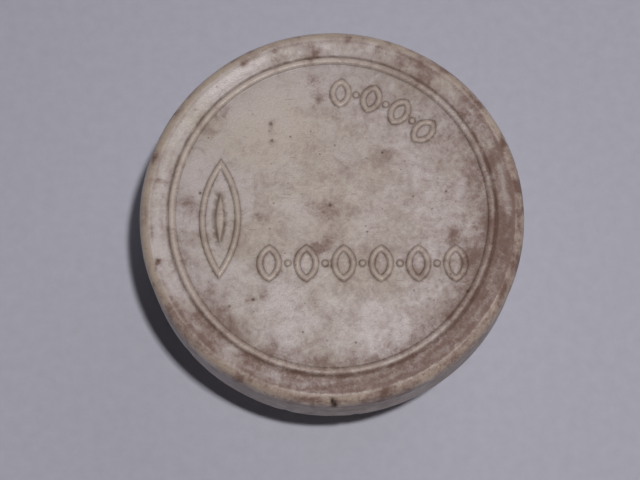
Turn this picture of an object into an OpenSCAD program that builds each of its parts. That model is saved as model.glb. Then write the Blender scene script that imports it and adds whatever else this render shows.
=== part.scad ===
// Cosmetic cream jar: a low, thick-walled jar moulded in ivory urea, with a screw lid.
// A card wad with a waxed facing sits loose in the lid, and a parchment disc lies on the jar's rim.
// Millimetres. The origin is the centre of the foot's underside, +Z is up, and the lid's
// ornament reads upright towards +Y. The right-hand thread opens anticlockwise from above.

/* [Overall] */
// Height of the closed jar, foot to the lid's top land
total_h = 31; // [28:0.5:40]

/* [Lid] */
// Outside diameter of the lid at its lower edge
lid_d = 60; // [52:1:72]
// Height of the lid
lid_h = 11.6; // [11:0.2:14]
// Thickness of the lid's skirt
lid_wall = 2.6; // [2.2:0.1:3]
// Thickness of the lid's top under the panel
top_t = 1.75; // [1.5:0.05:2.2]
// Radius of the lid's convex shoulder
shoulder_r = 2.1; // [1.4:0.1:2.6]
// Height of the lid's rim above the panel, which the relief stays just under
relief_h = 0.4; // [0.25:0.05:0.6]
// Radius of the ring bead's crest, as a share of the lid's radius
bead_share = 0.82; // [0.79:0.002:0.84]
// Width of the ring bead
bead_w = 1.2; // [1:0.1:1.8]

/* [Thread] */
// Rise of the thread in one turn
lead = 4; // [3.6:0.1:4.4]
// Height of the thread's ridge above its wall
thread_depth = 1.1; // [0.8:0.1:1.3]
// Radial gap between each ridge and the wall it faces
thread_gap = 0.3; // [0.25:0.05:0.5]
// Width of the ridge at its crest
crest_w = 0.8; // [0.5:0.1:0.9]
// Width of the ridge at its wall
root_w = 1.7; // [1.4:0.1:1.8]

/* [Jar] */
// Width of the ledge round the neck
ledge_w = 2.2; // [1.8:0.1:3]
// Amount that the side narrows on its radius, from the ledge to the lower corner
side_taper = 2.6; // [0:0.1:4]
// Radius of the lower outside corner
corner_r = 4; // [3:0.5:5]
// Wall of the neck
neck_wall = 2.4; // [2:0.1:3]
// Thickness of the floor
floor_t = 2.4; // [2:0.1:4]
// Radius of the fillet round the floor, inside
bowl_r = 5; // [3:0.5:7]

/* [Seals] */
// Thickness of the pressed card wad
wad_t = 1.2; // [1:0.1:1.5]
// Thickness of the waxed facing under the wad
facing_t = 0.2; // [0.15:0.05:0.3]
// Thickness of the parchment disc
cover_t = 0.3; // [0.2:0.05:0.4]

/* [Hidden] */
$fn = 96;

// Colours, as on an old jar
ivory = [0.84, 0.79, 0.72];
card = [0.66, 0.56, 0.42];
waxed = [0.86, 0.83, 0.72];
parchment = [0.80, 0.74, 0.58];

// Lid, outside
lid_r = lid_d / 2;
skirt_draft = 0.25;                       // the skirt narrows this much towards its shoulder
skirt_z = total_h - lid_h;                // lower edge of the skirt
edge_r = 0.5;                             // rounding of the skirt's lower edge
arris_a = 75;                             // angle at which the shoulder meets the top land
shoulder_in = lid_r - skirt_draft - shoulder_r;
land_out = shoulder_in + shoulder_r * cos(arris_a);
land_w = 0.6;                             // flat top of the lid's rim
panel_z = total_h - relief_h;             // face of the round panel and foot of the relief
hair = 0.05;                              // gap between pieces that move apart
relief_top = relief_h - hair;             // the rim's land stands a hair above the relief
bead_r = lid_r * bead_share;
bead_out = bead_r + bead_w / 2;
groove_w = 0.3;                           // fine groove round the outside of the bead
groove_h = 0.15;

// Lid, inside
ceiling_z = panel_z - top_t;
bore_r = lid_r - lid_wall;                // wall that carries the lid's thread
ridge_h = 0.2;                            // ring that presses the wad onto the jar's rim
ridge_w = 1.2;
ridge_slope = 0.2;

// Stack under the lid
wad_top = ceiling_z - ridge_h - hair;
wad_bottom = wad_top - wad_t;
facing_bottom = wad_bottom - facing_t;
cover_bottom = facing_bottom - hair - cover_t;
rim_z = cover_bottom - hair;

// Jar
crest_r = bore_r - thread_gap;            // crest of the neck's thread
neck_r = crest_r - thread_depth;          // wall of the neck between its ridges
minor_r = neck_r + thread_gap;            // crest of the lid's thread
mouth_r = neck_r - neck_wall;
rim_mid = neck_r - neck_wall / 2;
rim_r = 0.9;                              // rounding of the rim's two edges
skirt_gap = 0.4;                          // gap between the skirt and the ledge below it
ledge_z = skirt_z - skirt_gap;
ledge_r = 1.0;                            // rounding of the ledge's outer edge
body_r = neck_r + ledge_w;
waist_r = body_r - side_taper;            // radius where the side meets the lower corner
foot_h = 0.8;                             // height of the foot ring
foot_out = waist_r - corner_r + 1.2;
foot_w = 2.6;
floor_z = foot_h + floor_t;
bowl_draft = 0.8;                         // the bowl narrows this much towards the floor

// Thread
steps = 40;                               // sections in a turn
root_bury = 0.5;                          // depth of each ridge's root inside its wall
fade_bury = 0.2;                          // depth of the crest at the two ends of a ridge
fade = 30;                                // degrees over which an end fades out
start_gap = 0.7;                          // height of the ridges' lowest edge above the ledge
rim_gap = 0.8;                            // height of the rim above the neck's ridge
wad_gap = 1.5;                            // height of the wad's facing above the lid's ridge
flank_gap = 0.2;                          // axial gap between the flanks that bear
start_z = ledge_z + start_gap + root_w / 2;
neck_turn = 360 * (rim_z - rim_gap - root_w / 2 - start_z) / lead;
lid_turn = 360 * (facing_bottom - wad_gap - root_w / 2 - start_z) / lead;
flank = (root_w - crest_w) / thread_depth; // width that a ridge loses for each mm of height
deep_w = root_w + flank * root_bury;      // width of the buried root
ridge_step = root_w - flank * (thread_depth + thread_gap) / 2 + flank_gap;
lid_start = 360 * ridge_step / lead;      // puts the lid's ridge just under the neck's

// Seals
wad_r = bore_r - 0.5;
facing_r = wad_r - 0.3;
cover_r = neck_r - 0.1;

// Ornament, drawn for a panel of this radius and scaled to fit the real one:
// a bud, a row of leaves and an arc of leaves, in outline
drawn_r = 24;
panel_r = bead_r - bead_w / 2;
rib_w = 0.95;                             // width of the outline's ribs
bury = 0.3;                               // depth of the ribs' foot inside the top
dot_d = 1.1;
bud_x = -17.2;
bud_y = -1;
bud_h = 19;
bud_w = 6.4;
seed_h = 8;
seed_w = 1.4;
row_x = -9.6;
row_y = -8;
row_step = 5.7;
row_leaves = 6;
row_h = 5.8;
row_w = 3.8;
arc_r = 19.3;
arc_start = 86;
arc_step = 14.5;
arc_leaves = 4;
arc_h = 4.8;
arc_w = 3.4;

// Points of an arc, in equal steps
function arc(c, r, a0, a1, n = 8) =
    [for (i = [0:n]) let (a = a0 + (a1 - a0) * i / n) [c[0] + r * cos(a), c[1] + r * sin(a)]];

// Points of a low bead of width w and height h, centred on x, from its inner foot outwards
function bead(x, z, w, h) =
    let (r = (w * w / 4 + h * h) / (2 * h), a = asin(w / 2 / r))
    arc([x, z + h - r], r, 90 + a, 90 - a, 12);

// Height of a ridge's crest at angle a of a thread of turn degrees, from 0 to 1
function swell(a, turn) = sin(90 * min(1, a / fade, (turn - a) / fade));

// One section of a ridge: four points, in the same sense on a neck and in a bore
function section(a, z, wall, crest, k) =
    let (
        out = crest > wall ? 1 : -1,
        root = wall - out * root_bury,
        tip = (wall - out * fade_bury) * (1 - k) + crest * k,
        tip_w = root_w + (crest_w - root_w) * k
    )
    [for (p = [[root, -deep_w], [tip, -tip_w], [tip, tip_w], [root, deep_w]])
        [p[0] * cos(a), p[0] * sin(a), z + out * p[1] / 2]];

// A helical ridge on a wall of radius wall, from angle start, rising with the lead
module ridge(wall, crest, z, start, turn) {
    n = round(turn / 360 * steps);
    points = [for (i = [0:n]) let (a = turn * i / n)
        each section(start + a, z + lead * a / 360, wall, crest, swell(a, turn))];
    sides = [for (i = [0:n - 1], j = [0:3])
        let (a = 4 * i + j, b = 4 * i + (j + 1) % 4)
        each [[a, b, b + 4], [a, b + 4, a + 4]]];
    ends = [[3, 2, 1, 0], [for (j = [0:3]) 4 * n + j]];
    polyhedron(points, concat(sides, ends), convexity = 6);
}

// A pointed oval h long and w wide, drawn in by inset
module leaf(h, w, inset = 0) {
    r = (h * h + w * w) / (4 * w);
    intersection() {
        translate([w / 2 - r, 0]) circle(r - inset);
        translate([r - w / 2, 0]) circle(r - inset);
    }
}

// The outline of a leaf
module leaf_rib(h, w) {
    difference() {
        leaf(h, w);
        leaf(h, w, rib_w);
    }
}

// A tall bud with a seed in it
module bud() {
    translate([bud_x, bud_y]) {
        leaf_rib(bud_h, bud_w);
        leaf(seed_h, seed_w);
    }
}

// A row of upright leaves with a dot between each two
module leaf_row() {
    for (i = [0:row_leaves - 1])
        translate([row_x + i * row_step, row_y]) leaf_rib(row_h, row_w);
    for (i = [0:row_leaves - 2])
        translate([row_x + (i + 0.5) * row_step, row_y]) circle(d = dot_d);
}

// Leaves that stand on an arc, with a dot between each two
module leaf_arc() {
    for (i = [0:arc_leaves - 1])
        rotate(arc_start - i * arc_step - 90) translate([0, arc_r]) leaf_rib(arc_h, arc_w);
    for (i = [0:arc_leaves - 2])
        rotate(arc_start - (i + 0.5) * arc_step - 90) translate([0, arc_r]) circle(d = dot_d);
}

module ornament() {
    translate([0, 0, panel_z - bury])
        linear_extrude(bury + relief_top)
            scale(panel_r / drawn_r) {
                bud();
                leaf_row();
                leaf_arc();
            }
}

module lid_profile() {
    polygon(concat(
        [[0, ceiling_z], [0, panel_z]],
        bead(bead_r, panel_z, bead_w, relief_top),
        [[bead_out + groove_w / 2, panel_z - groove_h], [bead_out + groove_w, panel_z]],
        [[land_out - land_w, total_h]],
        arc([shoulder_in, total_h - shoulder_r * sin(arris_a)], shoulder_r, arris_a, 0),
        arc([lid_r - edge_r, skirt_z + edge_r], edge_r, 0, -90, 4),
        arc([bore_r + edge_r, skirt_z + edge_r], edge_r, -90, -180, 4),
        arc([bore_r - edge_r, ceiling_z - edge_r], edge_r, 0, 90, 4),
        [[rim_mid + ridge_w / 2, ceiling_z]],
        [[rim_mid + ridge_w / 2 - ridge_slope, ceiling_z - ridge_h]],
        [[rim_mid - ridge_w / 2 + ridge_slope, ceiling_z - ridge_h]],
        [[rim_mid - ridge_w / 2, ceiling_z]]
    ));
}

module lid() {
    color(ivory) union() {
        rotate_extrude() lid_profile();
        ornament();
        ridge(bore_r, minor_r, start_z, lid_start, lid_turn);
    }
}

module jar_profile() {
    polygon(concat(
        [[0, foot_h], [0, floor_z]],
        arc([mouth_r - bowl_draft - bowl_r, floor_z + bowl_r], bowl_r, -90, 0),
        arc([mouth_r + rim_r, rim_z - rim_r], rim_r, 180, 90, 6),
        arc([neck_r - rim_r, rim_z - rim_r], rim_r, 90, 0, 6),
        [[neck_r, ledge_z]],
        arc([body_r - ledge_r, ledge_z - ledge_r], ledge_r, 90, 0, 6),
        arc([waist_r - corner_r, foot_h + corner_r], corner_r, 0, -72),
        [[foot_out, 0], [foot_out - foot_w, 0], [foot_out - foot_w - foot_h, foot_h]]
    ));
}

module jar_body() {
    color(ivory) union() {
        rotate_extrude() jar_profile();
        ridge(neck_r, crest_r, start_z, 0, neck_turn);
    }
}

module card_wad() {
    color(card) translate([0, 0, wad_bottom]) cylinder(h = wad_t, r = wad_r);
}

module wad_facing() {
    color(waxed) translate([0, 0, facing_bottom]) cylinder(h = facing_t, r = facing_r);
}

module cover_disc() {
    color(parchment) translate([0, 0, cover_bottom]) cylinder(h = cover_t, r = cover_r);
}

jar_body();
cover_disc();
wad_facing();
card_wad();
lid();
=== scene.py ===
import math

import bpy
import numpy as np
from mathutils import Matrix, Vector, geometry, noise


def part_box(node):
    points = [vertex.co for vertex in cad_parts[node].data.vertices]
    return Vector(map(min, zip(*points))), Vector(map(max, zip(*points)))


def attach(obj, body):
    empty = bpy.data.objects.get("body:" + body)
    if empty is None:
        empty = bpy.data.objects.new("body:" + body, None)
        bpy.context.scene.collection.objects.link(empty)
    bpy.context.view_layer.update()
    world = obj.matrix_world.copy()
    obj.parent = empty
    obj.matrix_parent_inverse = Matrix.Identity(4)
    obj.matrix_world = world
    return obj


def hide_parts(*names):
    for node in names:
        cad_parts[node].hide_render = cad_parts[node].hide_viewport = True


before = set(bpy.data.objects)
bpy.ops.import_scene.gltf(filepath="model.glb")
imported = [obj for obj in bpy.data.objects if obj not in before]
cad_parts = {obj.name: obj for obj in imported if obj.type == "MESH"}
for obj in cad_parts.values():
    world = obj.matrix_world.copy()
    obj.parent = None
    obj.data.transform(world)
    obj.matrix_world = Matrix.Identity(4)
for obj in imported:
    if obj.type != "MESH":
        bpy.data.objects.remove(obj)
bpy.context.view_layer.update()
MM = 0.001                                # sizes are in millimetres, and meshes are made in metres

# ------------------------------------------------------------------------------------ the jar
# One thick-walled pot pressed from urea-formaldehyde powder in a hot steel mould. The bowl, the
# rolled rim, the ledge and the neck's screw thread all come straight from the mould, and the
# pot stands on a plain ring. It is hidden under the lid, so it has kept more of its ivory.

jar_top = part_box("jar_body")[1] / MM
lid_foot, lid_top = (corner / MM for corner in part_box("lid"))
RIM_Z = jar_top.z
BODY_R = jar_top.x
LID_R = lid_top.x
SKIRT_GAP = 0.4                           # height of the lid's skirt above the ledge
LID_WALL = 2.6
THREAD_H = 1.1
THREAD_GAP = 0.3                          # between each ridge and the wall it faces
NECK_WALL = 2.4
FLOOR_T = 2.4
LEDGE_Z = lid_foot.z - SKIRT_GAP
BORE_R = LID_R - LID_WALL
NECK_R = BORE_R - THREAD_GAP - THREAD_H
MOUTH_R = NECK_R - NECK_WALL
RIM_ROUND = 0.9
FOOT_H = 0.8
FLOOR_Z = FOOT_H + FLOOR_T
AROUND = 384                              # points round each turned ring

LEAD = 4.0                                # rise of the thread in one turn
ROOT_W, CREST_W = 1.7, 0.8
START_GAP = 0.7                           # height of the ridges' lowest edge above the ledge
RIM_GAP = 0.8                             # height of the rim above the neck's ridge
THREAD_Z = LEDGE_Z + START_GAP + ROOT_W / 2
NECK_TURN = 360 * (RIM_Z - RIM_GAP - ROOT_W / 2 - THREAD_Z) / LEAD


def outline(corners, step=1.0):
    """Points (r, z) along a turned outline. A corner is (r, z, fillet), and may end with the
    spacing of the points on the line that leaves it."""
    points = [np.array(corner[:2], float) for corner in corners]
    bends = []
    for i, corner in enumerate(corners):
        fillet = corner[2] if len(corner) > 2 else 0
        if not fillet:
            bends.append([points[i]])
            continue
        back, on = points[i - 1] - points[i], points[i + 1] - points[i]
        back, on = back / np.linalg.norm(back), on / np.linalg.norm(on)
        half = math.acos(np.clip(back @ on, -1, 1)) / 2
        middle = points[i] + (back + on) / np.linalg.norm(back + on) * fillet / math.sin(half)
        first = points[i] + back * fillet / math.tan(half) - middle
        last = points[i] + on * fillet / math.tan(half) - middle
        sweep = math.pi - 2 * half
        parts = max(3, math.ceil(math.degrees(sweep) / 11))
        bends.append([
            middle + (first * math.sin((1 - t) * sweep) + last * math.sin(t * sweep)) / math.sin(sweep)
            for t in np.linspace(0, 1, parts + 1)
        ])
    walk = []
    for i, bend in enumerate(bends):
        walk += bend
        if i + 1 < len(bends):
            start, end = bend[-1], bends[i + 1][0]
            spacing = corners[i][3] if len(corners[i]) > 3 else step
            parts = max(1, math.ceil(np.linalg.norm(end - start) / spacing))
            walk += [start + (end - start) * k / parts for k in range(1, parts)]
    return walk


def turned(points):
    """Corners and faces of the surface that an outline sweeps round the axis. A point on the
    axis is a pole."""
    angle = np.arange(AROUND) * 2 * math.pi / AROUND
    coords, starts = [], []
    for r, z in points:
        starts.append(sum(len(ring) for ring in coords))
        if r < 1e-6:
            coords.append(np.array([[0, 0, z]]))
        else:
            coords.append(np.c_[r * np.cos(angle), r * np.sin(angle), np.full(AROUND, z)])
    faces = []
    for i in range(len(points) - 1):
        a, b = starts[i], starts[i + 1]
        for j in range(AROUND):
            k = (j + 1) % AROUND
            if len(coords[i]) == 1:
                faces.append((a, b + k, b + j))
            elif len(coords[i + 1]) == 1:
                faces.append((a + j, a + k, b))
            else:
                faces.append((a + j, a + k, b + k, b + j))
    return np.concatenate(coords), faces


def ridge(coords, start, turn):
    """Height, from 0 to 1, of a moulded thread over each point: a rounded ridge that climbs
    from THREAD_Z at angle start and fades out at both ends."""
    angle = np.degrees(np.arctan2(coords[:, 1], coords[:, 0])) - start
    height = np.zeros(len(coords))
    for lap in range(2):
        along = angle % 360 + 360 * lap
        off = np.abs(coords[:, 2] - THREAD_Z - LEAD * along / 360)
        flank = np.clip((ROOT_W / 2 - off) / ((ROOT_W - CREST_W) / 2), 0, 1)
        fade = np.clip(np.minimum(along, turn - along) / 30, 0, 1)
        height = np.maximum(height, flank * flank * (3 - 2 * flank) * np.sin(fade * math.pi / 2))
    return height


def push_out(coords, amount):
    """Moves points away from the axis."""
    r = np.hypot(coords[:, 0], coords[:, 1])
    coords[:, :2] *= (1 + amount / np.maximum(r, 1e-6))[:, None]


def unevenness(coords, size, seed):
    """Smooth noise from about -1 to 1 over points, with features of a size in mm."""
    shift = Vector((seed * 7.3, seed * 3.1, seed * 5.7))
    return np.array([noise.noise(Vector(c) / size + shift) for c in coords]) * 2


def make_piece(name, coords, faces, material, body, nodes, marks=None):
    """A mesh piece that rides on a body and stands for CAD nodes. marks are named values at
    its points, which its material reads."""
    mesh = bpy.data.meshes.new(name)
    mesh.from_pydata((coords * MM).tolist(), [], faces)
    mesh.polygons.foreach_set("use_smooth", [True] * len(mesh.polygons))
    mesh.materials.append(material)
    for mark, values in (marks or {}).items():
        made = mesh.attributes.new(mark, "FLOAT", "POINT")
        made.data.foreach_set("value", np.asarray(values, np.float32))
    piece = bpy.data.objects.new(name, mesh)
    bpy.context.scene.collection.objects.link(piece)
    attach(piece, body)
    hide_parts(*nodes)
    return piece


def linear(code):
    """A colour, from its sRGB hex code."""
    parts = [int(code[i:i + 2], 16) / 255 for i in (1, 3, 5)]
    return [p / 12.92 if p <= 0.04045 else ((p + 0.055) / 1.055) ** 2.4 for p in parts] + [1.0]


def add(tree, kind, inputs=None, **settings):
    """Adds a shader node with its settings, and sets or links its inputs."""
    made = tree.nodes.new("ShaderNode" + kind)
    for key, value in settings.items():
        setattr(made, key, value)
    for key, value in (inputs or {}).items():
        if isinstance(value, bpy.types.NodeSocket):
            tree.links.new(value, made.inputs[key])
        else:
            made.inputs[key].default_value = value
    return made.outputs


def new_material(name):
    """An empty material, its node tree and the object's own coordinates, in metres."""
    material = bpy.data.materials.new(name)
    material.use_nodes = True
    tree = material.node_tree
    tree.nodes.clear()
    return material, tree, add(tree, "TexCoord")["Object"]


def noise_of(size):
    """Noise scale that gives features of a size in mm."""
    return 1 / (size * MM)


# Moulded urea-formaldehyde: hard, dense and ivory right through, with a satin skin. The eye
# sees a chalky pinkish white where the skin has weathered, with drifts of cream, a cleaner tan
# cream where it is rubbed, brown clouds where old make-up has soaked in, and brown lines where
# dirt sits in its corners. The same browns also paint shade onto the lid's front, right side
# and lower skirt.
def moulded_urea(name, staining, weathered, drift, cream, stain_and_shade_brown, old_stain_and_shade_brown, dirt):
    """staining is how far brown clouds cover the skin, from 0 to 1. The others are hex colours.
    The piece carries marks for rubbing, stain and dirt. On the lid, the stain and dirt marks also
    carry painted shade, drawn in the stain and dirt browns."""
    material, tree, place = new_material(name)
    rubbed = add(tree, "Attribute", attribute_name="rubbed")["Fac"]
    stain_and_shade = add(tree, "Attribute", attribute_name="stain_and_shade")["Fac"]
    dirt_and_shade = add(tree, "Attribute", attribute_name="dirt_and_shade")["Fac"]
    clouds = add(tree, "TexNoise", {
        "Vector": place, "Scale": noise_of(9.0), "Detail": 4.0, "Roughness": 0.55})["Fac"]
    blotches = add(tree, "TexNoise", {
        "Vector": place, "Scale": noise_of(2.4), "Detail": 8.0, "Roughness": 0.7,
        "Distortion": 0.6})["Fac"]
    mottle = add(tree, "TexNoise", {
        "Vector": place, "Scale": noise_of(0.9), "Detail": 4.0, "Roughness": 0.7,
        "Distortion": 0.4})["Fac"]
    # Grains of filler in the powder are 0.1 mm across; these are three times that, to show.
    grain = add(tree, "TexNoise", {
        "Vector": place, "Scale": noise_of(0.3), "Detail": 2.0, "Roughness": 0.6})["Fac"]

    # The skin: weathered white with drifts of cream, and a tan cream where it is rubbed.
    drifting = add(tree, "MapRange", {
        "Value": clouds, "From Min": 0.42, "From Max": 0.64, "To Min": 0.0, "To Max": 0.9})[0]
    colour = add(tree, "Mix", {
        0: drifting, 6: linear(weathered), 7: linear(drift)}, data_type="RGBA")[2]
    worn = add(tree, "Math", {0: rubbed, 1: 0.85}, operation="MULTIPLY")[0]
    colour = add(tree, "Mix", {0: worn, 6: colour, 7: linear(cream)}, data_type="RGBA")[2]

    # How deep the stain is: three sizes of noise, more in the stained places and where shade is
    # painted in, less where rubbed.
    depth = add(tree, "Math", {0: blotches, 1: 1.5, 2: -1.25}, operation="MULTIPLY_ADD")[0]
    depth = add(tree, "Math", {0: clouds, 1: depth}, operation="ADD")[0]
    depth = add(tree, "Math", {0: mottle, 1: depth}, operation="ADD")[0]
    depth = add(tree, "Math", {0: stain_and_shade, 1: 0.42, 2: depth}, operation="MULTIPLY_ADD")[0]
    depth = add(tree, "Math", {0: rubbed, 1: -0.16, 2: depth}, operation="MULTIPLY_ADD")[0]
    clear = 0.5 * (1 - staining)
    soak_and_shade = add(tree, "MapRange", {
        "Value": depth, "From Min": 0.12 + clear, "From Max": 1.05 + clear,
        "To Min": 0.0, "To Max": 0.8}, interpolation_type="SMOOTHSTEP")[0]
    colour = add(tree, "Mix", {0: soak_and_shade, 6: colour, 7: linear(stain_and_shade_brown)}, data_type="RGBA")[2]

    # Old stain is gritty: it fills the stained places, and those where shade is painted in, with
    # grains and clots.
    grit = add(tree, "Math", {0: mottle, 1: 2.2, 2: -2.1}, operation="MULTIPLY_ADD")[0]
    grit = add(tree, "Math", {0: grain, 1: 1.0, 2: grit}, operation="MULTIPLY_ADD")[0]
    grit = add(tree, "Math", {0: blotches, 1: grit}, operation="ADD")[0]
    grit = add(tree, "Math", {0: stain_and_shade, 1: 0.8, 2: grit}, operation="MULTIPLY_ADD")[0]
    deep = add(tree, "MapRange", {
        "Value": grit, "From Min": 0.3 + clear, "From Max": 1.5 + clear,
        "To Min": 0.0, "To Max": 0.85}, interpolation_type="SMOOTHSTEP")[0]
    colour = add(tree, "Mix", {0: deep, 6: colour, 7: linear(old_stain_and_shade_brown)}, data_type="RGBA")[2]

    # Grain, short scratches that have held dirt, and a peppering of specks.
    powder = add(tree, "MapRange", {
        "Value": grain, "From Min": 0.35, "From Max": 0.7, "To Min": 0.0, "To Max": 0.22})[0]
    colour = add(tree, "Mix", {0: powder, 6: colour, 7: linear(stain_and_shade_brown)}, data_type="RGBA")[2]
    slant = add(tree, "Mapping", {
        "Vector": place, "Rotation": (0.0, 0.0, 0.6), "Scale": (0.22, 1.0, 1.0)})[0]
    scratch = add(tree, "TexNoise", {
        "Vector": slant, "Scale": noise_of(0.45), "Detail": 2.0, "Distortion": 0.3})["Fac"]
    scratch = add(tree, "MapRange", {
        "Value": scratch, "From Min": 0.64, "From Max": 0.75, "To Min": 0.0, "To Max": 0.28})[0]
    colour = add(tree, "Mix", {0: scratch, 6: colour, 7: linear(dirt)}, data_type="RGBA")[2]
    cell = add(tree, "TexVoronoi", {"Vector": place, "Scale": noise_of(2.0)})["Distance"]
    cell = add(tree, "Math", {0: mottle, 1: 0.35, 2: cell}, operation="MULTIPLY_ADD")[0]
    speck = add(tree, "MapRange", {
        "Value": cell, "From Min": 0.20, "From Max": 0.27, "To Min": 0.6, "To Max": 0.0})[0]
    colour = add(tree, "Mix", {0: speck, 6: colour, 7: linear(dirt)}, data_type="RGBA")[2]

    # Dirt in the corners, and painted shade on the lid's skirt, thinner where the blotches are
    # light. Marks over 1 are nearly black.
    ragged = add(tree, "MapRange", {
        "Value": blotches, "From Min": 0.3, "From Max": 0.7, "To Min": 0.35, "To Max": 1.2})[0]
    caked_and_shaded = add(tree, "Math", {0: dirt_and_shade, 1: ragged}, operation="MULTIPLY", use_clamp=True)[0]
    colour = add(tree, "Mix", {0: caked_and_shaded, 6: colour, 7: linear(dirt)}, data_type="RGBA")[2]
    black = add(tree, "MapRange", {
        "Value": dirt_and_shade, "From Min": 1.0, "From Max": 1.6, "To Min": 0.0, "To Max": 0.9})[0]
    colour = add(tree, "Mix", {0: black, 6: colour, 7: linear("#3A221A")}, data_type="RGBA")[2]

    rough = add(tree, "MapRange", {
        "Value": depth, "From Min": 0.1, "From Max": 1.0, "To Min": 0.38, "To Max": 0.6})[0]
    rough = add(tree, "Math", {0: caked_and_shaded, 1: 0.2, 2: rough}, operation="MULTIPLY_ADD")[0]
    polish = add(tree, "Math", {0: rubbed, 1: 5.0}, operation="POWER")[0]
    rough = add(tree, "Math", {0: polish, 1: -0.16, 2: rough}, operation="MULTIPLY_ADD")[0]
    bump = add(tree, "Bump", {
        "Height": grain, "Strength": 0.6, "Distance": 0.07 * MM})["Normal"]
    bump = add(tree, "Bump", {
        "Height": blotches, "Strength": 0.5, "Distance": 0.12 * MM, "Normal": bump})["Normal"]
    skin = add(tree, "BsdfPrincipled", {
        "Base Color": colour, "Roughness": rough, "Normal": bump, "IOR": 1.56,
        "Subsurface Weight": 0.08, "Subsurface Radius": (1.0, 0.75, 0.55),
        "Subsurface Scale": 0.5 * MM})[0]
    add(tree, "OutputMaterial", {"Surface": skin})
    return material


jar_coords, jar_faces = turned(outline([
    (0, FOOT_H),
    (6.6, FOOT_H, 0.1), (6.8, FOOT_H - 0.2, 0.1),          # ring left by the mould's plug
    (7.6, FOOT_H - 0.2, 0.1), (7.8, FOOT_H, 0.1),
    (19.4, FOOT_H, 0.3), (20.2, 0, 0.25), (22.8, 0, 0.25), (22.84, 1.0, 0.15),
    (25.0, 1.7, 3.2),
    (BODY_R, LEDGE_Z, 1.0),
    (NECK_R, LEDGE_Z, 0.25, 0.15),
    (NECK_R, RIM_Z, RIM_ROUND), (MOUTH_R, RIM_Z, RIM_ROUND),
    (MOUTH_R - 0.8, FLOOR_Z, 5.0),
    (0, FLOOR_Z),
]))
jar_r = np.hypot(jar_coords[:, 0], jar_coords[:, 1])
on_neck = (jar_r > NECK_R - 0.3) & (jar_coords[:, 2] > LEDGE_Z + 0.01)
neck_ridge = ridge(jar_coords, 0, NECK_TURN) * on_neck
push_out(jar_coords, neck_ridge * THREAD_H)
push_out(jar_coords, unevenness(jar_coords, 14.0, 1) * 0.02)
in_bowl = (jar_r < MOUTH_R + 0.2) & (jar_coords[:, 2] > FLOOR_Z - 0.1)
jar_dirt = 0.55 * np.exp(-np.abs(jar_coords[:, 2] - LEDGE_Z) / 0.35) * (jar_r < NECK_R + 0.6)
jar_dirt += 0.45 * np.exp(-(jar_coords[:, 2] - 0.5) ** 2 / 0.3) * (jar_r > 18)
jar_dirt += 0.4 * on_neck * (neck_ridge > 0.02) * (neck_ridge < 0.35)
jar_dirt += 0.25 * in_bowl * np.exp(-(jar_coords[:, 2] - FLOOR_Z) / 3.0) * (jar_r > 14)
make_piece(
    "jar_pot", jar_coords, jar_faces,
    moulded_urea(
        "urea_formaldehyde_ivory_jar", 0.45, weathered="#D2C7BA", drift="#CEC0A8",
        cream="#D2C2A8", stain_and_shade_brown="#B09A86", old_stain_and_shade_brown="#866A56", dirt="#74594A"),
    "jar", ["jar_body"],
    {
        "rubbed": 0.8 * np.exp(-np.abs(jar_coords[:, 2] - RIM_Z) / 0.5) + 0.5 * (neck_ridge > 0.8),
        "stain_and_shade": 0.45 * in_bowl * np.exp(-(jar_coords[:, 2] - FLOOR_Z) / 6.0),
        "dirt_and_shade": np.clip(jar_dirt, 0, 1),
    },
)

# ------------------------------------------------------------------------ the parchment disc
# A disc of greaseproof vegetable parchment that lies on the jar's rim over the cream. It has
# been pressed flat where the rim bears on it, and has cockled everywhere else.

disc_low, disc_high = (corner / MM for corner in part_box("cover_disc"))
DISC_R = disc_high.x
DISC_T = 0.12
RIM_MID = (MOUTH_R + NECK_R) / 2


def cockle(coords, seed):
    """How far damp has lifted each point of a paper disc, from about -1 to 1. It is nothing
    where the rim presses."""
    r = np.hypot(coords[:, 0], coords[:, 1])
    flat = np.c_[coords[:, :2], np.zeros(len(coords))]
    free = 1 - np.exp(-((r - RIM_MID) / 2.2) ** 2)
    return free * (unevenness(flat, 11.0, seed) * 0.7 + unevenness(flat, 4.5, seed + 1) * 0.3)


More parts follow.
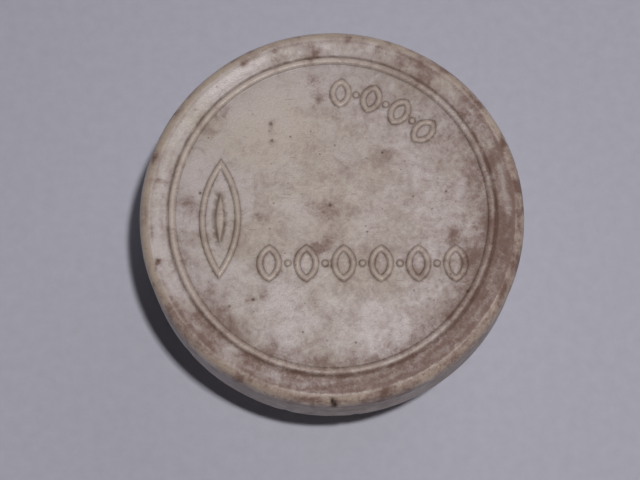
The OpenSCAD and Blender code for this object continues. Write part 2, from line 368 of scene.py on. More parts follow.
# Vegetable parchment: cotton paper gelled in acid. The eye sees a faintly mottled, waxy, warm
# translucent sheet, darker where oil has soaked through it.
def vegetable_parchment():
    material, tree, place = new_material("vegetable_parchment")
    pressed = add(tree, "Attribute", attribute_name="pressed")["Fac"]
    cloud = add(tree, "TexNoise", {
        "Vector": place, "Scale": noise_of(7.0), "Detail": 4.0, "Roughness": 0.6})["Fac"]
    # Cotton fibres are 0.02 mm across; these are 0.4 mm, to show.
    fibre = add(tree, "TexNoise", {
        "Vector": place, "Scale": noise_of(0.8), "Detail": 6.0, "Roughness": 0.7,
        "Distortion": 1.8})["Fac"]
    oiled = add(tree, "MapRange", {
        "Value": cloud, "From Min": 0.4, "From Max": 0.72, "To Min": 0.0, "To Max": 0.8},
        interpolation_type="SMOOTHSTEP")[0]
    colour = add(tree, "Mix", {0: oiled, 6: linear("#DCD0B2"), 7: linear("#C0A97E")}, data_type="RGBA")[2]
    thin = add(tree, "MapRange", {
        "Value": fibre, "From Min": 0.35, "From Max": 0.65, "To Min": 0.0, "To Max": 0.35})[0]
    colour = add(tree, "Mix", {0: thin, 6: colour, 7: linear("#B39B70")}, data_type="RGBA")[2]
    ring = add(tree, "Math", {0: pressed, 1: 0.45}, operation="MULTIPLY")[0]
    colour = add(tree, "Mix", {0: ring, 6: colour, 7: linear("#8E7450")}, data_type="RGBA")[2]
    rough = add(tree, "MapRange", {
        "Value": oiled, "From Min": 0.0, "From Max": 0.7, "To Min": 0.55, "To Max": 0.34})[0]
    bump = add(tree, "Bump", {
        "Height": fibre, "Strength": 0.5, "Distance": 0.03 * MM})["Normal"]
    sheet = add(tree, "BsdfPrincipled", {
        "Base Color": colour, "Roughness": rough, "Normal": bump, "IOR": 1.5,
        "Subsurface Weight": 0.2, "Subsurface Radius": (1.0, 0.8, 0.5),
        "Subsurface Scale": 0.5 * MM})[0]
    add(tree, "OutputMaterial", {"Surface": sheet})
    return material


disc_z = (disc_low.z + disc_high.z) / 2
disc_coords, disc_faces = turned(outline([
    (0, disc_z - DISC_T / 2),
    (DISC_R, disc_z - DISC_T / 2, 0.05), (DISC_R, disc_z + DISC_T / 2, 0.05),
    (0, disc_z + DISC_T / 2),
]))
disc_r = np.hypot(disc_coords[:, 0], disc_coords[:, 1])
disc_pressed = np.exp(-((disc_r - RIM_MID) / 0.9) ** 4)
push_out(disc_coords, (disc_r > DISC_R - 0.7) * (0.15 * unevenness(disc_coords, 5.0, 3) - 0.1))
disc_coords[:, 2] += cockle(disc_coords, 4) * 0.07 - 0.02 * disc_pressed
make_piece(
    "parchment_disc", disc_coords, disc_faces, vegetable_parchment(),
    "seal", ["cover_disc"], {"pressed": disc_pressed})

# ------------------------------------------------------------------------- the wad's facing
# Waxed paper pasted to the underside of the wad, so that the card doesn't take up the cream.
# The jar's rim has printed a ring into it.

facing_low, facing_high = (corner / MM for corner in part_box("wad_facing"))
FACING_R = facing_high.x
PRINT_H = 0.06                            # depth of the ring that the rim has printed


def printed(r):
    """How hard the jar's rim has pressed at a radius, from 0 to 1."""
    return np.exp(-((r - RIM_MID) / 0.95) ** 4)


# Waxed paper: a thin sheet under a skin of paraffin. The eye sees a soft gloss, a yellowed
# white, and a darker ring and drops where the wax has been pressed thin and oil has got in.
def waxed_paper():
    material, tree, place = new_material("waxed_paper")
    pressed = add(tree, "Attribute", attribute_name="pressed")["Fac"]
    bloom = add(tree, "TexNoise", {
        "Vector": place, "Scale": noise_of(5.0), "Detail": 6.0, "Roughness": 0.65})["Fac"]
    crinkle = add(tree, "TexVoronoi", {
        "Vector": place, "Scale": noise_of(3.0)}, feature="DISTANCE_TO_EDGE")["Distance"]
    aged = add(tree, "MapRange", {
        "Value": bloom, "From Min": 0.42, "From Max": 0.64, "To Min": 0.0, "To Max": 0.75})[0]
    colour = add(tree, "Mix", {0: aged, 6: linear("#E0D8BE"), 7: linear("#C4B184")}, data_type="RGBA")[2]
    ring = add(tree, "Math", {0: pressed, 1: 0.55}, operation="MULTIPLY")[0]
    colour = add(tree, "Mix", {0: ring, 6: colour, 7: linear("#94794F")}, data_type="RGBA")[2]
    rough = add(tree, "MapRange", {
        "Value": bloom, "From Min": 0.35, "From Max": 0.65, "To Min": 0.24, "To Max": 0.45})[0]
    bump = add(tree, "Bump", {
        "Height": crinkle, "Strength": 0.3, "Distance": 0.05 * MM})["Normal"]
    sheet = add(tree, "BsdfPrincipled", {
        "Base Color": colour, "Roughness": rough, "Normal": bump, "IOR": 1.44})[0]
    add(tree, "OutputMaterial", {"Surface": sheet})
    return material


facing_coords, facing_faces = turned(outline([
    (0, facing_low.z),
    (FACING_R, facing_low.z, 0.06), (FACING_R, facing_high.z, 0.06),
    (0, facing_high.z),
]))
facing_r = np.hypot(facing_coords[:, 0], facing_coords[:, 1])
under = facing_coords[:, 2] < (facing_low.z + facing_high.z) / 2
facing_coords[:, 2] += under * (0.02 + PRINT_H * printed(facing_r) + 0.02 * unevenness(facing_coords, 6.0, 6))
make_piece(
    "waxed_facing", facing_coords, facing_faces, waxed_paper(),
    "liner", ["wad_facing"], {"pressed": printed(facing_r)})

# --------------------------------------------------------------------------------- the wad
# A disc punched from grey-brown pulpboard, loose in the lid above its thread. The punch has
# rounded one edge and feathered the other, and the board has split a little into its layers.

wad_low, wad_high = (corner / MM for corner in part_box("card_wad"))
WAD_R = wad_high.x


# Pulpboard: waste paper pulp rolled into board. The eye sees a dull grey-brown, matted fibres,
# dark flecks of print, and the edges of its layers.
def pulpboard():
    material, tree, place = new_material("pulpboard")
    # Pulp fibres are 0.03 mm across; these are 0.3 mm, to show.
    fibre = add(tree, "TexNoise", {
        "Vector": place, "Scale": noise_of(0.7), "Detail": 7.0, "Roughness": 0.75,
        "Distortion": 2.2})["Fac"]
    fleck = add(tree, "TexVoronoi", {"Vector": place, "Scale": noise_of(1.3)})["Distance"]
    cloud = add(tree, "TexNoise", {
        "Vector": place, "Scale": noise_of(6.0), "Detail": 3.0})["Fac"]
    layers = add(tree, "TexWave", {
        "Vector": place, "Scale": noise_of(0.3) / 20, "Distortion": 2.0, "Detail": 3.0},
        bands_direction="Z")["Fac"]
    matted = add(tree, "MapRange", {
        "Value": fibre, "From Min": 0.3, "From Max": 0.7, "To Min": 0.0, "To Max": 1.0})[0]
    colour = add(tree, "Mix", {0: matted, 6: linear("#8F7B5C"), 7: linear("#B7A382")}, data_type="RGBA")[2]
    damp = add(tree, "MapRange", {
        "Value": cloud, "From Min": 0.5, "From Max": 0.66, "To Min": 0.0, "To Max": 0.4})[0]
    colour = add(tree, "Mix", {0: damp, 6: colour, 7: linear("#6E5A3E")}, data_type="RGBA")[2]
    dark = add(tree, "MapRange", {
        "Value": fleck, "From Min": 0.08, "From Max": 0.14, "To Min": 0.6, "To Max": 0.0})[0]
    colour = add(tree, "Mix", {0: dark, 6: colour, 7: linear("#4A4038")}, data_type="RGBA")[2]
    bump = add(tree, "Bump", {
        "Height": fibre, "Strength": 0.7, "Distance": 0.1 * MM})["Normal"]
    bump = add(tree, "Bump", {
        "Height": layers, "Strength": 0.4, "Distance": 0.05 * MM, "Normal": bump})["Normal"]
    board = add(tree, "BsdfPrincipled", {
        "Base Color": colour, "Roughness": 0.88, "Normal": bump, "IOR": 1.45})[0]
    add(tree, "OutputMaterial", {"Surface": board})
    return material


wad_coords, wad_faces = turned(outline([
    (0, wad_low.z),
    (WAD_R, wad_low.z, 0.08, 0.12), (WAD_R, wad_high.z, 0.3),
    (0, wad_high.z),
]))
wad_r = np.hypot(wad_coords[:, 0], wad_coords[:, 1])
wad_edge = (wad_r > WAD_R - 0.35)
push_out(wad_coords, wad_edge * (0.05 * unevenness(wad_coords * [1, 1, 6], 3.0, 8) - 0.06))
wad_coords[:, 2] -= (wad_coords[:, 2] > wad_high.z - 0.4) * PRINT_H * printed(wad_r)
make_piece("pulpboard_wad", wad_coords, wad_faces, pulpboard(), "liner", ["card_wad"])

# --------------------------------------------------------------------------------- the lid
# One moulding in the same urea-formaldehyde as the jar. Its top has a flat panel with raised
# leaves, a ring bead, a dished band and a rim that takes the wear, with a plain skirt below.
# Inside are the screw ridge and a low ring that presses the wad. Hands have rubbed its high
# places clean, and dirt has stayed in its corners.

RELIEF_H = 0.4                            # height of the rim above the panel
RELIEF = RELIEF_H - 0.05                  # height of the bead and the leaves
TOP_Z = lid_top.z
PANEL_Z = TOP_Z - RELIEF_H
TOP_T = 1.75                              # thickness of the top under the panel
CEILING_Z = PANEL_Z - TOP_T
SKIRT_DRAFT = 0.25                        # the skirt narrows this much towards its shoulder
SHOULDER_R = 2.1
SHOULDER_IN = LID_R - SKIRT_DRAFT - SHOULDER_R
BEAD_R = LID_R * 0.82
BEAD_HALF = 0.6                           # half the width of the bead
GROOVE_HALF = 0.15                        # half the width of the fine groove outside it
PANEL_R = BEAD_R - BEAD_HALF
GROOVE_R = BEAD_R + BEAD_HALF + GROOVE_HALF
BAND_IN = GROOVE_R + GROOVE_HALF
ARRIS_A = 75                              # angle at which the shoulder meets the land, in degrees
LAND_OUT = SHOULDER_IN + SHOULDER_R * math.cos(math.radians(ARRIS_A))
LAND_IN = LAND_OUT - 0.6
FLANK_GAP = 0.2                           # axial gap between the flanks that bear
WAD_GAP = 1.5                             # height of the wad's facing above the lid's ridge
FLANK = (ROOT_W - CREST_W) / THREAD_H     # width that a ridge loses for each mm of height
LID_START = 360 * (ROOT_W - FLANK * (THREAD_H + THREAD_GAP) / 2 + FLANK_GAP) / LEAD
LID_TURN = 360 * (facing_low.z - WAD_GAP - ROOT_W / 2 - THREAD_Z) / LEAD

# The leaves: (x, y, upright angle, height, width), drawn for a panel of radius 24.
FIT = PANEL_R / 24
RIB_W = 0.95 * FIT
BUD_X, BUD_Y = -17.2, -1.0
ROW_X, ROW_Y, ROW_STEP = -9.6, -8.0, 5.7
ARC_R = 19.3
DOT_R = 0.55 * FIT


def on_arc(a):
    """The place on the arc of leaves at an angle, in degrees."""
    return ARC_R * math.cos(math.radians(a)), ARC_R * math.sin(math.radians(a))


SEED = (BUD_X, BUD_Y, 0.0, 8.0, 1.4)
LEAVES = [(BUD_X, BUD_Y, 0.0, 19.0, 6.4)]
LEAVES += [(ROW_X + ROW_STEP * i, ROW_Y, 0.0, 5.8, 3.8) for i in range(6)]
LEAVES += [(*on_arc(a), a - 90, 4.8, 3.4) for a in (86, 71.5, 57, 42.5)]
DOTS = [(ROW_X + ROW_STEP * (i + 0.5), ROW_Y) for i in range(5)]
DOTS += [on_arc(a) for a in (78.75, 64.25, 49.75)]


def leaf_field(x, y, leaf):
    """Distance of points from a leaf's edge, negative inside it."""
    lx, ly, turn, height, width = leaf
    turn = math.radians(turn)
    dx, dy = x - lx * FIT, y - ly * FIT
    across = dx * math.cos(turn) + dy * math.sin(turn)
    along = -dx * math.sin(turn) + dy * math.cos(turn)
    height, width = height * FIT, width * FIT
    big = (height ** 2 + width ** 2) / (4 * width)
    return np.hypot(np.abs(across) + big - width / 2, along) - big


def leaf_line(leaf, inset, step):
    """Points along a leaf's edge, drawn in by inset."""
    lx, ly, turn, height, width = leaf
    height, width = height * FIT, width * FIT
    big = (height ** 2 + width ** 2) / (4 * width)
    off = big - width / 2
    if big - inset <= off:
        return []
    half = math.acos(off / (big - inset))
    parts = max(2, math.ceil(2 * half * (big - inset) / step))
    turn = math.radians(turn)
    line = []
    for side in (1, -1):
        for k in range(parts + 1):
            a = -half + 2 * half * k / parts
            u, v = side * ((big - inset) * math.cos(a) - off), (big - inset) * math.sin(a)
            line.append((
                lx * FIT + u * math.cos(turn) - v * math.sin(turn),
                ly * FIT + u * math.sin(turn) + v * math.cos(turn)))
    return line


def round_rib(t):
    """Cross-section of a moulded rib, from 1 at its middle to 0 where t is 1: a rounded top on
    steep sides."""
    t = np.clip(np.abs(t), 0, 1)
    return (1 - t ** 3.2) ** 0.8


# Small pits where grains have fallen out of the skin: (x, y, radius, depth).
PITS = [
    (-9.6, 14.3, 0.35, 0.10), (-9.4, 11.6, 0.30, 0.10), (-20.4, 3.1, 0.30, 0.10),
    (-0.3, 1.2, 0.32, 0.08), (12.5, 2.6, 0.22, 0.07), (0.4, 10.8, 0.22, 0.06),
    (-6.5, 12.2, 0.20, 0.06), (7.8, 9.6, 0.25, 0.06), (-12.0, -13.6, 0.30, 0.08),
    (-15.6, -14.6, 0.28, 0.08), (3.6, -20.2, 0.22, 0.06), (17.6, 3.4, 0.20, 0.05),
    (-4.4, -18.6, 0.20, 0.06), (20.6, -12.4, 0.24, 0.07), (5.4, -3.0, 0.18, 0.05),
]

# Places where old make-up has soaked in: (x, y, radius, strength).
STAINS = [
    # on the panel
    (-3.2, 21.2, 1.6, 1.2), (-2.6, 18.2, 1.3, 1.1), (-4.4, 16.6, 1.0, 0.5), (-9.6, 14.2, 0.9, 1.0),
    (-9.4, 11.8, 0.7, 0.8), (-16.8, 16.2, 1.5, 0.9), (-18.8, 13.2, 1.3, 0.7), (-13.8, 9.8, 2.2, 0.45),
    (-11.0, 4.4, 1.8, 0.5), (-22.2, 1.2, 1.7, 1.0), (-22.6, -4.0, 1.4, 0.7), (-21.9, -7.8, 1.6, 0.8),
    (-10.8, -0.6, 1.3, 0.75), (-0.4, 0.4, 1.6, 0.9), (-2.6, 0.9, 1.2, 0.6), (2.0, 6.8, 1.2, 0.4),
    (8.4, 9.6, 1.3, 0.7), (12.1, 1.1, 0.5, 0.7), (-1.9, -5.2, 0.9, 1.3), (-0.6, -4.6, 1.0, 0.9),
    (-19.2, -13.0, 1.4, 1.0), (-17.4, -15.6, 1.2, 1.3), (-15.4, -17.6, 1.1, 1.0), (-12.2, -14.0, 0.7, 1.3),
    (-10.6, -12.9, 1.0, 0.9), (-5.8, -14.3, 0.5, 1.0), (-8.0, -10.0, 0.7, 0.8), (-9.6, -22.0, 1.6, 0.8),
    (-1.8, -22.9, 1.8, 0.7), (-1.0, -17.6, 2.0, 0.4), (18.9, -4.2, 1.2, 1.2), (21.2, -6.8, 1.6, 0.9),
    (18.0, -15.8, 0.5, 0.9), (14.0, -9.8, 1.6, 0.4), (17.6, 12.0, 2.0, 0.4), (21.6, 6.0, 1.6, 0.45),
    (6.0, -12.4, 1.8, 0.3), (4.6, 15.8, 1.6, 0.35),
    # on the band, the rim and the shoulder
    (-3.4, 26.4, 1.5, 1.2), (-9.5, 25.2, 1.8, 0.9), (-14.2, 23.8, 0.7, 1.4), (-12.6, 25.6, 1.3, 0.7),
    (-26.6, 9.2, 1.6, 0.7), (-26.2, 5.4, 1.6, 1.0), (-26.4, -7.8, 0.6, 1.7), (-26.0, -2.4, 1.8, 0.5),
    (-24.2, -14.6, 1.6, 0.9), (-20.8, -17.4, 1.9, 0.9), (-19.0, -20.2, 2.0, 0.9), (-12.6, -23.6, 1.8, 0.7),
    (-6.4, -25.6, 2.4, 0.8), (2.0, -26.4, 2.6, 0.5), (12.0, -24.4, 2.2, 0.3), (22.4, -14.0, 1.1, 0.9),
    (26.1, -12.2, 0.8, 0.9), (26.0, -5.6, 1.8, 1.1), (25.8, -1.8, 1.6, 1.1), (28.2, 3.8, 0.9, 1.2),
    (24.8, 8.8, 1.4, 0.9), (26.6, 10.8, 0.9, 1.3), (22.0, 16.6, 1.8, 0.6), (14.8, 21.8, 1.5, 1.1),
    (13.4, 23.8, 1.0, 1.1), (11.2, 25.0, 0.9, 1.0), (7.2, 26.6, 0.9, 1.1), (2.4, 27.6, 1.0, 0.9),
    (-22.0, 19.8, 1.4, 0.6), (-29.2, -1.0, 1.2, 0.6), (28.9, -7.6, 1.4, 0.6), (7.6, -28.4, 0.5, 1.2),
    (-27.8, 9.6, 0.9, 0.5), (-24.6, 16.0, 1.0, 0.8), (-19.8, 21.6, 0.9, 0.55), (-15.6, 24.8, 0.8, 1.0),
    (-27.0, -11.6, 1.2, 0.6), (-23.6, -17.2, 1.5, 0.45), (-14.0, -25.6, 1.6, 0.4), (-3.0, -29.0, 2.0, 0.5),
    (9.0, -28.0, 2.4, 0.5), (18.0, -23.0, 2.0, 0.4), (29.0, 1.0, 1.2, 0.8), (27.0, 11.6, 1.2, 0.9),
    (22.8, 18.2, 1.3, 0.8), (17.0, 24.0, 1.2, 0.8), (9.4, 27.8, 1.2, 0.7), (-6.0, 28.8, 1.4, 0.7),
]


def relief_marks(x, y):
    """For points on the panel: the height of the leaves and dots, and the distance to the
    nearest rib's side, negative on a rib."""
    height, gap = np.zeros(len(x)), np.full(len(x), 9.0)
    for leaf in LEAVES:
        edge = leaf_field(x, y, leaf)
        off = np.abs(edge + RIB_W / 2) - RIB_W / 2
        height = np.maximum(height, round_rib(1 + off / (RIB_W / 2)))
        gap = np.minimum(gap, off)
    edge = leaf_field(x, y, SEED)
    height = np.maximum(height, round_rib(1 + np.clip(edge, -0.5, 0) / 0.5))
    gap = np.minimum(gap, edge)
    for dx, dy in DOTS:
        off = np.hypot(x - dx * FIT, y - dy * FIT) - DOT_R
        height = np.maximum(height, round_rib(1 + off / DOT_R))
        gap = np.minimum(gap, off)
    return height, gap


def panel_points():
    """Points for the panel inside its edge: close along the ribs and in the pits, and wide apart
    elsewhere. A point too near an earlier one is left out."""
    kept, cells = [], {}

    def offer(x, y, room):
        if x * x + y * y > (PANEL_R - 0.12) ** 2:
            return
        col, row = math.floor(x / 0.5), math.floor(y / 0.5)
        for i in (col - 1, col, col + 1):
            for j in (row - 1, row, row + 1):
                for px, py in cells.get((i, j), ()):
                    if (px - x) ** 2 + (py - y) ** 2 < room * room:
                        return
        cells.setdefault((col, row), []).append((x, y))
        kept.append((x, y))

    for share in (0.0, 0.14, 0.3, 0.5, 0.7, 0.86, 1.0):
        for leaf in LEAVES:
            for x, y in leaf_line(leaf, share * RIB_W, 0.24):
                offer(x, y, 0.05)
    for inset in (0.0, 0.12, 0.3, 0.5):
        for x, y in leaf_line(SEED, inset, 0.24):
            offer(x, y, 0.05)
    for dx, dy in DOTS:
        for share, count in ((0.0, 1), (0.35, 8), (0.65, 14), (0.86, 20), (1.0, 24), (1.35, 24)):
            for k in range(count):
                a = 2 * math.pi * k / count
                offer(dx * FIT + share * DOT_R * math.cos(a), dy * FIT + share * DOT_R * math.sin(a), 0.04)
    for px, py, radius, _ in PITS:
        for share, count in ((0.0, 1), (0.4, 8), (0.75, 12), (1.0, 16), (1.3, 18)):
            for k in range(count):
                a = 2 * math.pi * k / count
                offer(px + share * radius * math.cos(a), py + share * radius * math.sin(a), 0.05)
    for inset in (-0.16, 1.16, -0.4, 1.4, -0.75, 1.8):
        for leaf in LEAVES:
            for x, y in leaf_line(leaf, inset * RIB_W, 0.28):
                offer(x, y, 0.14)
    for r in (PANEL_R - 0.2, PANEL_R - 0.45, PANEL_R - 0.8, PANEL_R - 1.25):
        for k in range(AROUND):
            a = 2 * math.pi * k / AROUND
            offer(r * math.cos(a), r * math.sin(a), 0.18)
    spacing = 0.55
    rows = math.ceil(PANEL_R / (spacing * 0.866))
    for j in range(-rows, rows + 1):
        for i in range(-rows, rows + 1):
            offer(spacing * (i + (j % 2) / 2), spacing * 0.866 * j, 0.34)
    return kept


def bead_outline():
    """The ring bead from its inner foot to its outer foot. It leans out a little."""
    points = []
    for s in np.sin(np.linspace(-1, 1, 19) * math.pi / 2):
        off = (s - 0.18) / (1.18 if s < 0.18 else 0.82)
        points.append((BEAD_R + BEAD_HALF * s, PANEL_Z + RELIEF * (1 - abs(off) ** 2.4)))
    return points


def band_outline():
    """The dished band, which rises from the groove to the rim's land."""
    return [
        (BAND_IN + (LAND_IN - BAND_IN) * t, PANEL_Z + RELIEF_H * t ** 1.7)
        for t in np.linspace(0, 1, 8)
    ]


lid_outline = bead_outline()
lid_outline += [(GROOVE_R + off, PANEL_Z - deep) for off, deep in ((-0.08, 0.1), (0, 0.14), (0.08, 0.1))]
lid_outline += band_outline()[:-1]
lid_outline += outline([
    (LAND_IN, TOP_Z - 0.01, 0), (LAND_OUT - 0.35, TOP_Z - 0.02, 0),
    (LAND_OUT - 0.06, TOP_Z, 0)], 0.2)
shoulder_z = TOP_Z - SHOULDER_R * math.sin(math.radians(ARRIS_A))
for degrees in (ARRIS_A, 73.5, 71, 67, 62, 56, 50, 43, 36, 29, 22, 15, 7):
    a = math.radians(degrees)
    lid_outline.append((SHOULDER_IN + SHOULDER_R * math.cos(a), shoulder_z + SHOULDER_R * math.sin(a)))
lid_outline += outline([
    (LID_R - SKIRT_DRAFT, shoulder_z),
    (LID_R, lid_foot.z, 0.5), (BORE_R, lid_foot.z, 0.5, 0.16),
    (BORE_R, CEILING_Z, 0.5),
    (RIM_MID + 0.6, CEILING_Z, 0.1), (RIM_MID + 0.4, CEILING_Z - 0.2, 0.1),
    (RIM_MID - 0.4, CEILING_Z - 0.2, 0.1), (RIM_MID - 0.6, CEILING_Z, 0.1),
    (7.8, CEILING_Z, 0.1), (7.6, CEILING_Z - 0.15, 0.1),    # ring left by the mould's plug
    (6.8, CEILING_Z - 0.15, 0.1), (6.6, CEILING_Z, 0.1),
    (0, CEILING_Z),
])
lid_coords, lid_faces = turned(lid_outline)
lid_faces = [tuple(reversed(face)) for face in lid_faces]    # this outline runs the other way

lid_r = np.hypot(lid_coords[:, 0], lid_coords[:, 1])
in_bore = (np.abs(lid_r - BORE_R) < 0.2) & (lid_coords[:, 2] < CEILING_Z - 0.3)
in_bore &= lid_coords[:, 2] > lid_foot.z + 0.2
lid_ridge = ridge(lid_coords, LID_START, LID_TURN) * in_bore
push_out(lid_coords, -lid_ridge * THREAD_H)

# The panel's first points are the bead's inner foot, so the two surfaces share that ring.
inner = panel_points()
flat = [Vector(c[:2]) for c in lid_coords[:AROUND].tolist()] + [Vector(p) for p in inner]
panel = geometry.delaunay_2d_cdt(flat, [], [], 0, 1e-6)
source = [ids[0] for ids in panel[3]]
shift = len(lid_coords) - AROUND
panel_faces = [
    tuple(source[i] if source[i] < AROUND else source[i] + shift for i in face)
    for face in panel[2]
]
panel_coords = np.array([(x, y, PANEL_Z) for x, y in inner])
leaf_height, rib_gap = relief_marks(panel_coords[:, 0], panel_coords[:, 1])
panel_coords[:, 2] += RELIEF * leaf_height
for px, py, radius, depth in PITS:
    off = np.hypot(panel_coords[:, 0] - px, panel_coords[:, 1] - py) / radius
    panel_coords[:, 2] -= depth * np.clip(1 - off ** 2, 0, 1)
coords = np.concatenate([lid_coords, panel_coords])
faces = lid_faces + panel_faces

# The top has sunk and swollen a few hundredths of a millimetre, and handling has nicked the rim.
on_top = coords[:, 2] > PANEL_Z - 1.2
coords[:, 2] += on_top * (0.035 * unevenness(coords, 16.0, 11) + 0.012 * unevenness(coords, 4.0, 12))
coords[:, 2] = np.minimum(coords[:, 2], TOP_Z)
radius = np.hypot(coords[:, 0], coords[:, 1])
outside = (radius > BORE_R + 0.5)
push_out(coords, outside * 0.03 * (unevenness(coords, 9.0, 13) - 1))

# Nicks in the rim and the skirt's edge: (angle, radius, height, width, depth).
NICKS = [
    (-89.3, 29.35, 29.8, 0.6, 0.35), (-83.0, 29.9, 20.0, 0.5, 0.2), (-41.0, 28.3, 30.9, 0.5, 0.12),
    (-28.0, 29.9, 19.7, 0.9, 0.3), (14.0, 28.4, 30.8, 0.6, 0.12), (32.0, 29.8, 19.6, 0.8, 0.25),
    (66.0, 28.3, 30.9, 0.5, 0.10), (104.0, 29.8, 19.6, 0.7, 0.25), (131.0, 28.4, 30.8, 0.7, 0.12),
    (158.0, 29.8, 19.7, 1.1, 0.3), (203.0, 28.4, 30.9, 0.5, 0.10), (221.0, 29.8, 19.6, 0.8, 0.3),
    (247.0, 28.3, 30.9, 0.6, 0.12), (256.0, 29.9, 19.6, 0.6, 0.2), (290.0, 28.4, 30.8, 0.5, 0.10),
]
for angle, r, z, width, depth in NICKS:
    centre = np.array([r * math.cos(math.radians(angle)), r * math.sin(math.radians(angle)), z])
    off = np.linalg.norm(coords - centre, axis=1) / width
    dent = np.clip(1 - off ** 2, 0, 1) * outside
    push_out(coords, -dent * depth)

# What has happened at each point of the surface, and where shade is painted in. Every term is a strength
# times a soft shape.
x, y, z = coords.T
height = np.concatenate([np.zeros(len(lid_coords)), leaf_height])
gap = np.concatenate([np.full(len(lid_coords), 9.0), rib_gap])
lid_ridge_all = np.concatenate([lid_ridge, np.zeros(len(panel_coords))])
top = z > PANEL_Z - 0.5
skirt = radius > BORE_R + 0.6
upper = (z > PANEL_Z - 0.9) | ((z > PANEL_Z - 2.8) & skirt)              # the top and the shoulder
within = (radius < BORE_R + 0.4) & (z < PANEL_Z - 0.9)
side = np.clip(x / 22, -1, 1)                                            # 1 at the right, -1 at the left
# Where shade is painted in: 1 towards the front and a little to the right, and 0 at the back
front_shade_lobe = np.clip(0.45 + 1.3 * (0.42 * x - 0.91 * y) / np.maximum(radius, 1), 0, 1)

# Dirt lies in the groove and on the band beside it, at the bead's inner foot, round the ribs,
# in the pits and along the skirt's edge. The skirt is greyed towards its foot, partly as grime
# and partly as painted shade.
dirt_and_shade = 0.85 * np.exp(-((radius - GROOVE_R) / 0.16) ** 2)
dirt_and_shade += 0.16 * np.exp(-np.abs(radius - GROOVE_R - 0.3) / 0.4) * (radius > GROOVE_R)
dirt_and_shade += 0.32 * np.exp(-((radius - PANEL_R - 0.22) / 0.3) ** 2)
dirt_and_shade += 0.26 * np.exp(-np.clip(PANEL_R - radius, 0, 99) / 1.5) * (radius < PANEL_R + 0.1)
dirt_and_shade += 0.62 * np.exp(-(np.clip(gap, -0.15, 9) / 0.15) ** 2) * (height < 0.7)
dirt_and_shade += 0.2 * np.exp(-np.clip(gap, 0, 9) / 0.8)
dirt_and_shade *= top
for px, py, size, _ in PITS:
    dirt_and_shade += 1.1 * np.exp(-(np.hypot(x - px, y - py) / size / 0.8) ** 2) * top
dirt_and_shade += 0.5 * np.exp(-np.abs(z - lid_foot.z) / 0.25)
# Partly grime, partly painted shade: the skirt darkens towards its foot.
dirt_and_shade += 0.18 * skirt * np.clip((PANEL_Z - 1.4 - z) / 2, 0, 1)
dirt_and_shade += 0.35 * within * (lid_ridge_all > 0.02) * (lid_ridge_all < 0.4)

# Marks on the rim that have gone nearly black: (x, y, radius).
BLACKENED = [
    (0.35, -29.4, 0.5), (0.1, -28.95, 0.25), (-0.2, -28.6, 0.2), (-26.5, -7.7, 0.22), (-26.2, -8.2, 0.2)]
for px, py, size in BLACKENED:
    dirt_and_shade += 1.7 * np.exp(-(np.hypot(x - px, y - py) / size) ** 2) * (z > PANEL_Z - 2.5)

# Stain has soaked into ragged places, and has been wiped along the band. There is less of it
# on the band's outer slope and in three clean patches. Shade is painted in as extra stain
# towards the front and the right.
SLOPE_R = LID_R * 0.9                     # the band's outer slope
LAND_FOOT_R = LID_R - 2.15                # the foot of the land
stray = [0.8 * unevenness(coords, 2.2, seed) for seed in (21, 22)]
stain_and_shade = upper * (1.05 + 0.5 * np.clip(-side, 0, 1) * (1 - front_shade_lobe)) * sum(
    strength * np.exp(-((x + stray[0] - sx) ** 2 + (y + stray[1] - sy) ** 2) / size ** 2)
    for sx, sy, size, strength in STAINS)
slope = np.exp(-((radius - SLOPE_R) / 0.5) ** 2)
stain_and_shade -= top * (0.1 + 0.4 * np.abs(x) / np.maximum(radius, 1)) * slope
stain_and_shade += top * 0.2 * np.exp(-((radius - LAND_FOOT_R) / 0.25) ** 2)
streak_place = np.c_[radius / 0.6, 8 * x / np.maximum(radius, 1), 8 * y / np.maximum(radius, 1)]
stain_and_shade += upper * (radius > BAND_IN) * 0.3 * unevenness(streak_place, 1.0, 25)
# Painted shade: stain browns darken the panel's edge and the band towards the front, less on the bead and the
# shoulder.
front_shade_lobe *= 1 - 0.7 * np.exp(-((radius - BEAD_R) / 0.5) ** 4) - 0.4 * (radius > LAND_OUT)
stain_and_shade += upper * front_shade_lobe * (0.6 * np.clip((radius - 21) / 2.5, 0, 1) + 0.15 * (radius > PANEL_R))
on_band = (radius > PANEL_R) & (radius < LAND_OUT)
# Painted shade and light: more stain darkens the right side, most on the band, and less stain lightens the
# left.
stain_and_shade += upper * ((0.36 - 0.12 * (radius > LAND_OUT)) * side + 0.2 * np.clip(side, 0, 1) * on_band)
for cx, cy, size, amount in ((-19, 18.5, 6, 0.5), (-9, 14, 9, 0.45), (3, -14, 7, 0.25)):
    stain_and_shade -= amount * np.exp(-((x - cx) ** 2 + (y - cy) ** 2) / size ** 2) * top
arris = np.exp(-((radius - LAND_OUT - 0.1) / 0.22) ** 2) * top
stain_and_shade -= 0.25 * arris
stain_and_shade = np.where(within, -0.5, stain_and_shade)

# Hands have rubbed the shoulder, the arris, the bead, the ribs, the middle and upper left of the
# panel, and the skirt. The inside is sheltered, so it is as clean as a rubbed place.
rubbed = np.exp(-((radius - LID_R + 0.75) / 1.05) ** 4) * (z > PANEL_Z - 2.5)
bead_wear = (0.6 - 0.4 * np.clip(side, 0, 1)) * np.exp(-((radius - BEAD_R) / 0.45) ** 4)
for wear in (
    0.35 * arris,
    bead_wear * top,
    0.65 * np.clip(height * 1.6 - 0.6, 0, 1),
    0.25 * np.exp(-(radius / 15) ** 2) * top,
    0.4 * np.exp(-((x + 9) ** 2 + (y - 14) ** 2) / 90) * top,
    0.4 * (radius > LID_R - 0.6) * (z < PANEL_Z - 1.5),
):
    rubbed = np.maximum(rubbed, wear)
rubbed = np.where(within, 0.7, rubbed)

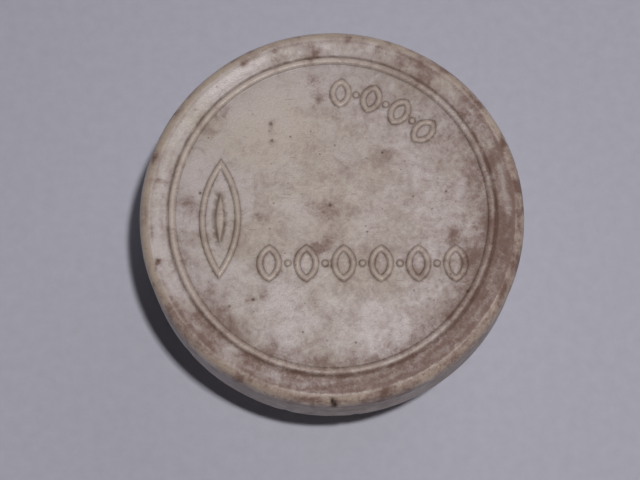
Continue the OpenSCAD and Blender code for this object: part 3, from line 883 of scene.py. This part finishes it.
make_piece(
    "lid_moulding", coords, faces,
    moulded_urea(
        "urea_formaldehyde_ivory_lid", 1.0, weathered="#DED3D0", drift="#D4CABC",
        cream="#E0CBB4", stain_and_shade_brown="#A48B84", old_stain_and_shade_brown="#7A5748", dirt="#67503F"),
    "lid", ["lid"],
    {
        "rubbed": np.clip(rubbed, 0, 1),
        "stain_and_shade": np.clip(stain_and_shade, -0.6, 1.8),
        "dirt_and_shade": np.clip(dirt_and_shade, 0, 1.7),
    },
)

# ------------------------------------------------------------------- the floor and the light
# A plain pale card floor, a small key light almost overhead and a little to the front right, a
# wide fill light from behind, and an even sky.


# Coated card: the eye sees a smooth, cool pale grey with a very slight tooth.
def pale_card():
    material, tree, place = new_material("pale_card")
    tooth = add(tree, "TexNoise", {
        "Vector": place, "Scale": noise_of(2.0), "Detail": 5.0, "Roughness": 0.6})["Fac"]
    shade = add(tree, "MapRange", {
        "Value": tooth, "From Min": 0.3, "From Max": 0.7, "To Min": 0.0, "To Max": 1.0})[0]
    colour = add(tree, "Mix", {0: shade, 6: linear("#CFCFDC"), 7: linear("#D6D6E3")}, data_type="RGBA")[2]
    card = add(tree, "BsdfPrincipled", {"Base Color": colour, "Roughness": 0.75})[0]
    add(tree, "OutputMaterial", {"Surface": card})
    return material


FLOOR_W = 1.6
floor_mesh = bpy.data.meshes.new("floor")
half = FLOOR_W / 2
floor_corners = [(-half, -half, 0), (half, -half, 0), (half, half, 0), (-half, half, 0)]
floor_mesh.from_pydata(floor_corners, [], [(0, 1, 2, 3)])
floor_mesh.materials.append(pale_card())
floor = bpy.data.objects.new("floor", floor_mesh)
bpy.context.scene.collection.objects.link(floor)


def softbox(name, place, aim, size, watts, tint):
    """A square area light at place that faces aim."""
    lamp = bpy.data.lights.new(name, "AREA")
    lamp.size = size
    lamp.energy = watts
    lamp.color = linear(tint)[:3]
    holder = bpy.data.objects.new(name, lamp)
    holder.location = place
    holder.rotation_euler = (Vector(aim) - Vector(place)).to_track_quat("-Z", "Y").to_euler()
    bpy.context.scene.collection.objects.link(holder)


jar_middle = (0, 0, TOP_Z * MM / 2)
softbox("key", (0.0466, -0.0452, 0.431), jar_middle, 0.016, 0.86, "#FFFCFC")
softbox("fill", (0.3, 0.52, 0.45), jar_middle, 0.5, 0.45, "#F4F6FF")

sky = bpy.data.worlds.new("sky")
sky.use_nodes = True
sky.node_tree.nodes["Background"].inputs["Color"].default_value = linear("#DDE2F2")
sky.node_tree.nodes["Background"].inputs["Strength"].default_value = 0.035
bpy.context.scene.world = sky
bpy.context.scene.view_settings.view_transform = "Standard"

# ---------------------------------------------------------------------------------- the camera
# A compact camera held over the lid, leaning back a little from straight above.

DISTANCE = 0.25                           # from the lens to the middle of the lid's top
ELEVATION = 75.9
ACROSS = 0.0983                           # width of the view at that distance
SHIFT_X, SHIFT_Y = -0.01875, -0.0439      # the lid is off the view's middle by these shares of it
camera_data = bpy.data.cameras.new("camera")
camera_data.sensor_width = 36
camera_data.lens = 36 * DISTANCE / ACROSS
camera_data.shift_x = SHIFT_X
camera_data.shift_y = SHIFT_Y
camera_data.clip_start = 0.01
camera = bpy.data.objects.new("camera", camera_data)
camera.location = (
    0,
    -DISTANCE * math.cos(math.radians(ELEVATION)),
    DISTANCE * math.sin(math.radians(ELEVATION)) + TOP_Z * MM)
camera.rotation_euler = (math.radians(90 - ELEVATION), 0, 0)
bpy.context.scene.collection.objects.link(camera)
bpy.context.scene.camera = camera
